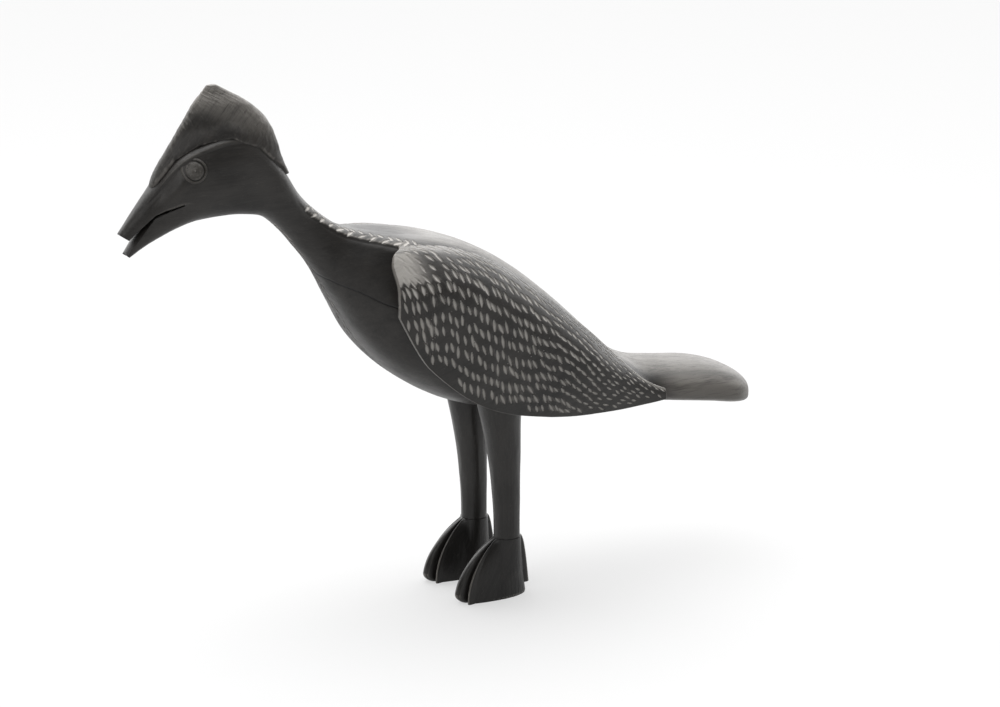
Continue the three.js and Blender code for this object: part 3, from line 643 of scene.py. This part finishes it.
# Painted highlight: the upper rear of the casque, which faces the light, is painted pale
crest_painted_highlight = 0.75 * ease(shell[..., 2] + 0.4 * shell[..., 0], 182, 218)
casque_wear = np.maximum(edge_wear_and_hollow_shade(shell, shell_normal, 3, 3.5, True), crest_painted_highlight)
casque = tube("carved_casque", shell, wear=casque_wear)
cut_away(casque, body)
casque.data.set_sharp_from_angle(angle=math.radians(60))
casque.data.materials.clear()
casque.data.materials.append(stained_wood(
    "casque_wood", (0, 50, 0), (0.40, 0.60), brown=CASQUE_BROWN, relief=0.0005
))
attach(casque, "root")
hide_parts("casque")


# Eyes. A turned disc of wood let into each side of the head, with a cut ring round it, a raised
# ring, a second cut and a low domed pupil that was left from the knife.
EYE_AT = (-315, 274)
EYE_SURROUND = 15  # mm of the head's skin round its middle that it follows
PUPIL_RADIUS = 7.5
EYE_PROFILE = np.array([  # distance from its middle and how far it stands out of the head
    (0.2, 1.6), (4, 1.4), (6.4, 1.0), (7.5, 0.6), (8.0, -0.7), (8.6, -1.2), (9.0, -0.6),
    (9.4, 1.0), (10.6, 1.1), (11.1, 0.5), (11.6, -1.4), (12.0, -1.2), (12.3, -0.6), (12.3, -4),
    (0.2, -4),
])
EYE_DARK = (0.022, 0.02, 0.018, 1)
EYE_BROWN = (0.08, 0.074, 0.066, 1)


def squares_of(a, b):
    """The six terms of a curved sheet: 1, both ways, their squares and their product."""
    return np.stack([np.ones_like(a), a, b, a * a, a * b, b * b], -1)


def side_of_head(side):
    """A curved sheet through the body's skin round the eye: across as squares of x and height."""
    off_x, off_h = skin[..., 0] - EYE_AT[0], skin[..., 2] - EYE_AT[1]
    near = (np.hypot(off_x, off_h) < EYE_SURROUND) & (skin[..., 1] * side > 0)
    return np.linalg.lstsq(squares_of(off_x[near], off_h[near]), skin[near][:, 1], rcond=None)[0]


def eye_disc(name, side):
    """The profile turned about the eye's middle, each point standing out from the head's sheet."""
    place = np.linspace(0, len(EYE_PROFILE) - 1, 90)
    radius, out = (np.interp(place, np.arange(len(EYE_PROFILE)), k)[:, None] for k in EYE_PROFILE.T)
    angle = full_turn(96) * -side
    a, b = radius * np.cos(angle), radius * np.sin(angle)
    knifed = 0.35 * scoops(a + 40, b + 40, (3.6, 3.6), 9, 0.9) * (radius < PUPIL_RADIUS)
    across = squares_of(a, b) @ side_of_head(side) + side * (out - knifed)
    disc = np.stack([EYE_AT[0] + a, across, EYE_AT[1] + b], -1)
    return tube(name, disc, eye_wood, wear=edge_wear_and_hollow_shade(disc, np.array([0, side, 0]), 2, 1.6, True))


eye_wood = stained_wood("eye_wood", (0, 0, 0), (0.34, 0.5), EYE_DARK, EYE_BROWN)
for eye_name, side in (("left_eye", -1), ("right_eye", 1)):
    eye = eye_disc(f"turned_{eye_name}", side)
    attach(eye, "root")
    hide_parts(eye_name)


# Wings. Each is a leaf of the same wood, hollowed inside to lie over the flank, pegged to it and let
# flush into the back. Its front, lower edge and tip stand clear of the body, a flat facet bevels
# the shoulder, and the whole outer face is covered with notches that get smaller to the rear.
WING_SHELL = np.array([
    # x, top, height of the widest line, half width there, how far it would close below, boxy above
    (-145, 187, 138, 87, 190, 5),
    (-100, 186, 122, 87, 175, 3.8),
    (-55, 177, 100, 85, 150, 3),
    (-15, 161, 78, 82, 125, 2.6),
    (30, 130, 55, 79, 105, 2.3),
    (80, 87, 33, 74, 85, 2.1),
    (125, 48, 12, 65, 65, 2.1),
    (170, 22, -4, 60, 45, 2.1),
])
WING_ROWS, WING_COLUMNS = 361, 221  # from front to tip and from upper to lower edge
INNER_STEP = 4  # points of the outer face to one of the inner face
WING_LAP = 36
WING_THICKNESS = 6
RIM_OUT = 1.1  # mm that the rim is rounded out past both faces
UNDER_SQUARE = 2.2
LOWER_EDGE = np.array([  # x and height
    (-142, 128), (-121, 89), (-103, 67), (-55, 29), (-15, 11),
    (24, 2), (60, -3), (95, -5), (130, -6), (165, -5),
])
UPPER_EDGE = np.array([  # x and how much further than the lap from the middle of the back
    (-120, 6), (-90, 4), (-52, 0), (-10, -2), (30, -2),
    (65, 0), (95, 8), (115, 14), (138, 22), (165, 22),
])
FRONT_BULGE = 10
SHOULDER = np.array([-137, -85, 154])  # on the lower edge of the shoulder's facet
FACET = np.array([0, -0.8, 0.6])  # the way the facet faces
FACET_SOFTNESS = 5
WING_STEPS = (8.4, 14)  # mm from one notch to the next along the wing and down it


def shell_shape(x):
    """Top, height of the widest line, half width there, depth below it and how boxy above it."""
    at = np.interp(x, WING_SHELL[:, 0], np.arange(len(WING_SHELL)))
    return [smooth(column, at) for column in WING_SHELL[:, 1:].T]


def shell_point(x, turn, inset):
    """Upright slices round the trunk, boxy above their widest line and nearly round below it. What
    would stand beyond the shoulder's facet is pushed back to it, with a soft edge."""
    top, widest, half, below, boxy = shell_shape(x)
    under = turn > math.pi / 2
    power = 2 / np.where(under, UNDER_SQUARE, boxy)
    across = np.abs(np.sin(turn)) ** power * (half - inset)
    rise = bent(np.cos(turn), power) * (np.where(under, below, top - widest) - inset)
    point = np.stack([x + 0 * turn, -across, widest + rise], -1)
    beyond = (point - SHOULDER) @ FACET + inset
    push = (beyond + np.hypot(beyond, FACET_SOFTNESS)) / 2
    return point - push[..., None] * FACET


def lower_turn():
    """Turn of the shell at each height of the lower edge."""
    top, widest, half, below, boxy = shell_shape(LOWER_EDGE[:, 0])
    under = LOWER_EDGE[:, 1] < widest
    rise = (LOWER_EDGE[:, 1] - widest) / np.where(under, below, top - widest)
    return np.arccos(bent(rise, np.where(under, UNDER_SQUARE, boxy) / 2))


def upper_turn():
    """Turn of the shell at each distance of the upper edge from the middle of the back."""
    top, widest, half, below, boxy = shell_shape(UPPER_EDGE[:, 0])
    return np.arcsin(((WING_LAP + UPPER_EDGE[:, 1]) / half) ** (boxy / 2))


LOWER = np.stack([LOWER_EDGE[:, 0], lower_turn()], -1)
UPPER = np.stack([UPPER_EDGE[:, 0], upper_turn()], -1)


def leaf(share, down, inset=0.0):
    """The wing's face: share runs from its front edge to its tip, down from its upper edge to its
    lower one. The front edge bulges forward, and draws back evenly to the lower front corner."""
    low_x, low_turn = (smooth(k, share * (len(LOWER) - 1)) for k in LOWER.T)
    high_x, high_turn = (smooth(k, share * (len(UPPER) - 1)) for k in UPPER.T)
    bulge = ease(down, 0, 0.25) * (1 - ease(down, 0.35, 1)) * (1 - share) ** 6
    place_x = high_x + (low_x - high_x) * down - FRONT_BULGE * bulge
    return shell_point(place_x, high_turn + (low_turn - high_turn) * down, inset)


def rim_of(rows, columns):
    """Rows and columns of a grid's outer points, in order round it."""
    right, lower = np.arange(columns - 1), np.arange(rows - 1)
    row = np.concatenate([0 * right, lower, 0 * right + rows - 1, rows - 1 - lower])
    column = np.concatenate([right, 0 * lower + columns - 1, columns - 1 - right, 0 * lower])
    return row, column


def mixed(share, first, second):
    return first * (1 - share) + second * share


shares = even_along(leaf(np.linspace(0, 1, 900), 0.5 + np.zeros(900)), WING_ROWS)
downs = even_across(leaf, shares, 1, WING_COLUMNS)
face = leaf(shares[:, None], downs)
face_out = unit(np.cross(steps_of(face, 1), steps_of(face, 0)))
middle_file = face[:, WING_COLUMNS // 2]
wing_size = np.repeat(1 - 0.4 * ease(middle_file[:, :1], -40, 140), WING_COLUMNS, axis=1)
wing_u = np.repeat(walk(middle_file, 0)[:, None], WING_COLUMNS, axis=1)
upward = ease(face_out[..., 2], 0.3, 0.85)

# Files of notches run closer together over the top and to the rear, where the notches are shorter
rearward = ease(face[..., 0], -60, 120)
crowding = (1 + 0.5 * upward) * (1 + 0.35 * rearward) / wing_size
wing_v = walk(face, 1, crowding[:, 1:])
rearward = rearward[..., None]
side_stroke = mixed(rearward, np.array([0.24, -0.04, -0.97]), np.array([0.85, -0.2, -0.5]))
top_stroke = mixed(rearward, np.array([0.6, -0.6, -0.53]), np.array([0.8, -0.4, -0.5]))
wing_stroke = mixed(upward[..., None], side_stroke, top_stroke)

# The shoulder's facet, down to a ragged line, keeps only faint notches and is painted pale, a
# painted highlight where it faces the light
to_facet = (face - SHOULDER) @ FACET
facet = ease(to_facet, -3, -1.2) * (1 - ease(face[..., 0], -128, -98))
facet = facet * ease(face[..., 2] + 1.6 * np.sin(0.8 * face[..., 0]), 156.5, 159)


def on_wing(mark_u, mark_v):
    """Clear of the wing's edges by about half a notch."""
    low = np.interp(mark_u, wing_u[:, 0], wing_v[:, -1])
    return (mark_v > 5) & (mark_v < low - 6) & (mark_u > 4.5) & (mark_u < wing_u[-1, 0] - 4)


def height_of_back(line):
    """Height of the carved back under each point of a line, looked up from above."""
    tree = BVHTree.FromObject(body, bpy.context.evaluated_depsgraph_get())
    down = Vector((0, 0, -1))
    hits = [tree.ray_cast(Vector((*at[:2], 1)), down)[0] for at in in_metres(line)]
    return np.array([BELLY if hit is None else hit.z * 1000 - BELLY for hit in hits])


# The upper edge dips just below the back's skin in front and in the middle, and lies on it behind
edge_line = face[:, 0]
dip = np.clip(edge_line[:, 2] - height_of_back(edge_line) + 0.5, -4, 14)
dip = dip * (1 - ease(edge_line[:, 0], 55, 95))
dip = dip[:, None] * (1 - ease(walk(face, 1), 0, 28))


def wing(name, side, seed):
    """The notched outer face, a rounded rim of five loops round it and a hollow inner face with
    fewer points each way. The right wing is the left one's mirror image, cut afresh."""
    cut_size = wing_size * (1 - 0.22 * upward)
    cut = notches(face, face_out, wing_u, wing_v, cut_size, wing_stroke, on_wing, seed, WING_STEPS)
    cut = cut * (1 - 0.72 * facet)
    # The facet is painted part way to the notches' bare wood, as a painted highlight
    notch_and_facet_highlight = np.maximum(cut, 0.45 * facet)
    scraped = 0.1 * scoops(wing_u, wing_v, (15, 11), seed + 1)
    outer = face - face_out * (NOTCH_DEPTH * cut * wing_size + scraped)[..., None]
    outer[..., 2] -= dip
    row, column = rim_of(*outer.shape[:2])
    edge, out = outer[row, column], face_out[row, column]
    inside = outer[np.clip(row, 1, WING_ROWS - 2), np.clip(column, 1, WING_COLUMNS - 2)]
    beyond = unit(edge - inside)
    beyond = unit(beyond - out * np.sum(beyond * out, -1, keepdims=True))
    half_thick = WING_THICKNESS / 2
    middle = edge - out * half_thick
    rim = [
        middle + out * half_thick * bent(math.cos(a), 0.6) + beyond * RIM_OUT * bent(math.sin(a), 0.6)
        for a in np.radians((25, 60, 90, 120, 155))
    ]
    fewer = slice(None, None, INNER_STEP)
    inner = leaf(shares[fewer, None], downs[fewer, fewer], WING_THICKNESS)
    inner[..., 2] -= dip[fewer, fewer]
    count, first_rim = len(row), face[..., 0].size
    first_inner = first_rim + len(rim) * count
    loops = [first_rim + k * count + np.arange(count) for k in range(len(rim))]
    loops.insert(0, row * WING_COLUMNS + column)
    strips = [np.stack([np.roll(a, -1), a, b, np.roll(b, -1)], -1) for a, b in zip(loops, loops[1:])]
    row, column = rim_of(*inner.shape[:2])
    coarse = first_inner + row * inner.shape[1] + column
    fine = loops[-1].reshape(-1, INNER_STEP)
    after, next_coarse = np.roll(loops[-1], -1).reshape(-1, INNER_STEP), np.roll(coarse, -1)
    fans = [
        np.stack([after[:, k], fine[:, k], coarse if k < INNER_STEP / 2 else next_coarse], -1)
        for k in range(INNER_STEP)
    ]
    fans.append(np.stack([fine[:, INNER_STEP // 2], coarse, next_coarse], -1))
    outside = grid_faces(*outer.shape[:2])[:, ::-1]
    faces = np.concatenate([outside, *strips, grid_faces(*inner.shape[:2], first=first_inner)]).tolist()
    faces += np.concatenate(fans).tolist()
    if side > 0:
        faces = [loop[::-1] for loop in faces]
    points = np.concatenate([outer.reshape(-1, 3), *rim, inner.reshape(-1, 3)]) * (1, -side, 1)
    # Painted light: a painted highlight along the upper edge towards the rear, paler tops where they face
    # up, and the facet's painted highlight; the bends give edge wear and painted shade in hollows
    upper_edge_painted_highlight = 0.9 * (1 - ease(walk(face, 1), 1.6, 3.4)) * ease(face[..., 0], -20, 60)
    top_painted_light = 0.6 * ease(face_out[..., 2], 0.72, 0.96)
    worn_and_lit = np.maximum.reduce([edge_wear_and_hollow_shade(outer, face_out, 4, 6), 0.85 * facet, upper_edge_painted_highlight, top_painted_light])
    rest = len(points) - first_rim
    # The first three loops of the rim are painted pale: edge wear and a painted highlight on the lit rim
    rim_wear_and_highlight = np.concatenate([np.full(3 * count, 0.9), np.zeros(rest - 3 * count)])
    return carve(
        name, points, faces, wing_wood,
        notch=np.concatenate([notch_and_facet_highlight.ravel(), np.zeros(rest)]), wear=np.concatenate([worn_and_lit.ravel(), rim_wear_and_highlight]),
    )


wing_wood = stained_wood("wing_wood", (0, 20, 0), (0.36, 0.52), notched=True)
for wing_name, side, seed in (("left_wing", -1, 31), ("right_wing", 1, 47)):
    piece = wing(f"notched_{wing_name}", side, seed)
    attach(piece, "root")
    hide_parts(wing_name)


# Legs. A round post each, thicker towards the thigh, with the grain upright, shaved with a knife and
# rubbed smooth. A tenon at each end is hidden in the trunk and in the foot.
FOOT_SPACING = 66
ANKLE_HEIGHT = -127  # the top of the foot, below the belly
ANKLE_RADIUS = 13
THIGH_RADIUS = 20.5
THIGH_LEAD = 7.5
LEG_TOP = 30  # inside the trunk
SHAVINGS = 11  # flats that the knife left round the post
SHAVING_LENGTH = 42
SHAVING_DEPTH = 0.3
LEG_BROWN = (0.03, 0.0275, 0.025, 1)
leg_wood = stained_wood("leg_wood", (0, 90, 0), (0.3, 0.46), brown=LEG_BROWN)


def leg(name, side):
    """Rings up the post: radius and forward lead grow with the square of the height."""
    height = np.linspace(ANKLE_HEIGHT - 3, LEG_TOP, 160)[:, None]
    angle = -full_turn(112)
    share = np.maximum(height - ANKLE_HEIGHT, 0) / -ANKLE_HEIGHT
    radius = ANKLE_RADIUS + (THIGH_RADIUS - ANKLE_RADIUS) * share**2
    facets = -angle / (2 * math.pi) * SHAVINGS + 0 * height
    lengths = height / SHAVING_LENGTH + 0 * angle
    radius = radius - SHAVING_DEPTH * (1 - scoops(facets, lengths, (1, 1), 4, around=SHAVINGS))
    lead = -THIGH_LEAD * share**2
    post = np.stack([
        lead + radius * np.cos(angle),
        side * FOOT_SPACING / 2 + radius * np.sin(angle),
        height + 0 * angle,
    ], -1)
    return tube(name, post, leg_wood, wear=edge_wear_and_hollow_shade(post, outward(post), 3, 4, True))


for leg_name, side in (("left_leg", -1), ("right_leg", 1)):
    piece = leg(f"shaved_{leg_name}", side)
    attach(piece, "root")
    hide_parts(leg_name)


# Feet. A block each: an oval sole with a broad middle toe and a thin outer one on each side, a deep
# cut between them, flanks hollowed below the ankle, and a narrow hind toe that ends clear of the
# ground.
FOOT_HEIGHT = 60
FOOT_WIDTH = 29
FOOT_WAIST = 8  # the foot is widest this far in front of the ankle's axis
TOE_LENGTH, TOE_WIDTH = 58, 11
TOE_TUCK = 7  # the middle toe's tip is rounded under by this much
OUTER_LENGTH, OUTER_WIDTH = 50.5, 4
OUTER_ANGLE = math.radians(11.5)
CUT_ANGLE = math.radians(8.2)  # of the cut between two toes
HEEL_LENGTH = 20
HIND_LENGTH, HIND_WIDTH = 25, 9
HIND_LEVEL = 0.15  # share of the foot's height at which the hind toe ends
CUT_DEPTH = 5
CUT_SPREAD = 0.03  # radians to each side
SOLE_ROUND = 0.6  # mm that the sole's edge is drawn in
FOOT_DARK = (0.010, 0.0095, 0.009, 1)
FOOT_BROWN = (0.024, 0.022, 0.020, 1)
foot_wood = stained_wood("foot_wood", (0, 60, 0), (0.3, 0.46), FOOT_DARK, FOOT_BROWN)


def toe_reach(off, length, width):
    """How far a straight toe with a round end reaches from the ankle's axis, at angles off it."""
    half = width / 2
    inside = half**2 - ((length - half) * np.sin(off)) ** 2
    straight = (length - half) * np.cos(off)
    end = np.where(inside > 0, straight + np.sqrt(np.maximum(inside, 0)), 0)
    beside = np.minimum(half / np.maximum(np.abs(np.sin(off)), 1e-3), straight)
    return np.where(np.abs(off) > math.pi / 2.2, 0, np.maximum(end, beside))


def oval_reach(off):
    """Half an ellipse in front of the foot's widest line and a shorter half behind it: the distance r
    that solves ((r cos - waist) / length)^2 + (r sin / half width)^2 = 1."""
    def reach(length):
        a = (np.cos(off) / length) ** 2 + (np.sin(off) / (FOOT_WIDTH / 2)) ** 2
        b = FOOT_WAIST * np.cos(off) / length**2
        return (b + np.sqrt(b**2 - a * ((FOOT_WAIST / length) ** 2 - 1))) / a

    front = reach(OUTER_LENGTH)
    return np.where(front * np.cos(off) > FOOT_WAIST, front, reach(HEEL_LENGTH + FOOT_WAIST))


def foot(name, side):
    """The outline drawn in towards the ankle at each level: the toes slope and then drop, the flanks
    behind them hollow out, and the hind toe stays steep down to its own end."""
    level = np.concatenate([np.linspace(0, HIND_LEVEL, 16), np.linspace(HIND_LEVEL + 0.004, 1, 74)])[:, None]
    turn = full_turn(400)
    angle = turn - 0.68 * np.sin(turn)
    off = np.abs(np.arctan2(np.sin(angle), np.cos(angle)))
    collar = ANKLE_RADIUS + 0.7
    toe_fall = (1 - level**2.1) ** 0.9
    behind_toe = ease(off, OUTER_ANGLE, 4 * OUTER_ANGLE)
    flank_fall = toe_fall + ((1 - level) ** 1.3 - toe_fall) * behind_toe
    tuck = TOE_TUCK * np.maximum(1 - level / HIND_LEVEL, 0) ** 2
    toes = np.maximum(
        toe_reach(off, TOE_LENGTH - tuck, TOE_WIDTH),
        toe_reach(off - OUTER_ANGLE, OUTER_LENGTH, OUTER_WIDTH),
    )
    flank = np.where(off > OUTER_ANGLE, oval_reach(off), 0)
    hind = toe_reach(math.pi - off, HIND_LENGTH, HIND_WIDTH)
    beyond = [
        np.maximum(toes - collar, 0) * toe_fall,
        np.maximum(flank - collar, 0) * flank_fall,
        np.maximum(hind - collar, 0) * (1 - level) ** 0.45 * (level > HIND_LEVEL),
    ]
    cut = CUT_DEPTH * np.exp(-(((off - CUT_ANGLE) / CUT_SPREAD) ** 2)) * (1 - level) ** 0.4
    sole = SOLE_ROUND * (1 - ease(level, 0, 0.03))
    knifed = 0.25 * scoops(turn / 0.12 + 0 * level, level * 5 + 0 * turn, (1, 1), 14, 0.9)
    reach = collar + np.max(beyond, 0) - cut - sole - knifed * (1 - level)
    block = np.stack([
        -reach * np.cos(angle),
        side * FOOT_SPACING / 2 + reach * np.sin(angle),
        level * FOOT_HEIGHT - BELLY + 0 * angle,
    ], -1)
    made = tube(name, block, foot_wood, wear=edge_wear_and_hollow_shade(block, outward(block), 3, 4, True))
    made.data.set_sharp_from_angle(angle=math.radians(45))
    return made


for foot_name, side in (("left_foot", -1), ("right_foot", 1)):
    piece = foot(f"carved_{foot_name}", side)
    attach(piece, "root")
    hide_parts(foot_name)


# Pegs. Bare round pegs inside the joints of the casque and the wings, never seen once it is put
# together.
PEG_DARK = (0.26, 0.17, 0.10, 1)
PEG_LIGHT = (0.42, 0.30, 0.19, 1)
PEG_WORN = (0.5, 0.38, 0.26, 1)
peg_wood = stained_wood("peg_wood", (0, 90, 0), (0.6, 0.8), PEG_DARK, PEG_LIGHT, PEG_WORN)
for peg_name in (
    "casque_peg", "left_wing_front_peg", "right_wing_front_peg", "left_wing_rear_peg", "right_wing_rear_peg"
):
    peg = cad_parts[peg_name]
    peg.data.materials.clear()
    peg.data.materials.append(peg_wood)


# Table top and light. A wide white sheet under and behind the bird, lit from above and behind, with
# a darker room on the camera's side.
CAMERA_AT = Vector((-1.31686, -2.42695, 1.08803))
YAW, PITCH = math.radians(29.5), math.radians(17)
LENS = 108
FAR = 20  # metres to the sheet's edges, which are never seen
PAPER_GREY = 0.27
PAPER_GLOW = 0.54  # light of the sheet's own, for the camera and in reflections only
ROOM_NEAR, ROOM_FAR = 0.12, 3.0  # brightness on the camera's side and behind the bird
SKY_SEEN = 0.93  # brightness of the room where the camera sees it

sheet_mesh = bpy.data.meshes.new("table_sheet")
sheet_mesh.from_pydata([(-FAR, -FAR, 0), (FAR, -FAR, 0), (FAR, FAR, 0), (-FAR, FAR, 0)], [], [(0, 1, 2, 3)])
sheet = bpy.data.objects.new("table_sheet", sheet_mesh)
scene.collection.objects.link(sheet)

paper = bpy.data.materials.new("white_paper")
paper.use_nodes = True
paper_tree = paper.node_tree
paper_tree.nodes.clear()
rays = add_node(paper_tree, "LightPath")
seen = reckon(paper_tree, "MAXIMUM", rays.outputs["Is Camera Ray"], rays.outputs["Is Glossy Ray"])
seen = reckon(paper_tree, "MAXIMUM", seen, rays.outputs["Is Transmission Ray"])
matt = add_node(paper_tree, "BsdfDiffuse", {}, {"Color": (PAPER_GREY, PAPER_GREY, PAPER_GREY, 1)})
glow = add_node(paper_tree, "Emission", {}, {
    "Color": (1, 1, 1, 1), "Strength": reckon(paper_tree, "MULTIPLY", seen, PAPER_GLOW)
})
both = add_node(paper_tree, "AddShader", {}, {0: matt.outputs[0], 1: glow.outputs[0]})
add_node(paper_tree, "OutputMaterial", {}, {"Surface": both.outputs[0]})
sheet_mesh.materials.append(paper)

world = bpy.data.worlds.new("studio")
scene.world = world
world.use_nodes = True
sky = world.node_tree
sky.nodes.clear()
ray = add_node(sky, "TexCoord").outputs["Generated"]
away = Vector((math.sin(YAW), math.cos(YAW), 0.55)).normalized()
facing_away = add_node(sky, "VectorMath", {"operation": "DOT_PRODUCT"}, {0: ray, 1: away}).outputs["Value"]
room = between(sky, facing_away, 0.0, 0.85, ROOM_NEAR, ROOM_FAR)
from_camera = add_node(sky, "LightPath").outputs["Is Camera Ray"]
strength = add_node(sky, "Mix", {"data_type": "FLOAT"}, {0: from_camera, 2: room, 3: SKY_SEEN}).outputs[0]
light = add_node(sky, "Background", {}, {"Color": (1, 1, 1, 1), "Strength": strength})
add_node(sky, "OutputWorld", {}, {"Surface": light.outputs[0]})


LAMP_AIM = Vector((0, 0, 0.3))


def softbox(name, place, width, power):
    """A square lamp turned towards the bird."""
    lamp = bpy.data.lights.new(name, "AREA")
    lamp.size = width
    lamp.energy = power
    holder = bpy.data.objects.new(name, lamp)
    holder.location = place
    holder.rotation_euler = (LAMP_AIM - holder.location).to_track_quat("-Z", "Y").to_euler()
    scene.collection.objects.link(holder)


softbox("overhead", (-0.2, 0.3, 2.6), 2.4, 36)
softbox("front_left", (-2.2, -1.6, 1.9), 1.6, 19)

camera_data = bpy.data.cameras.new("camera")
camera_data.sensor_width = 36
camera_data.lens = LENS
camera = bpy.data.objects.new("camera", camera_data)
camera.location = CAMERA_AT
camera.rotation_euler = (math.pi / 2 - PITCH, 0, -YAW)
scene.collection.objects.link(camera)
scene.camera = camera
scene.view_settings.view_transform = "Standard"
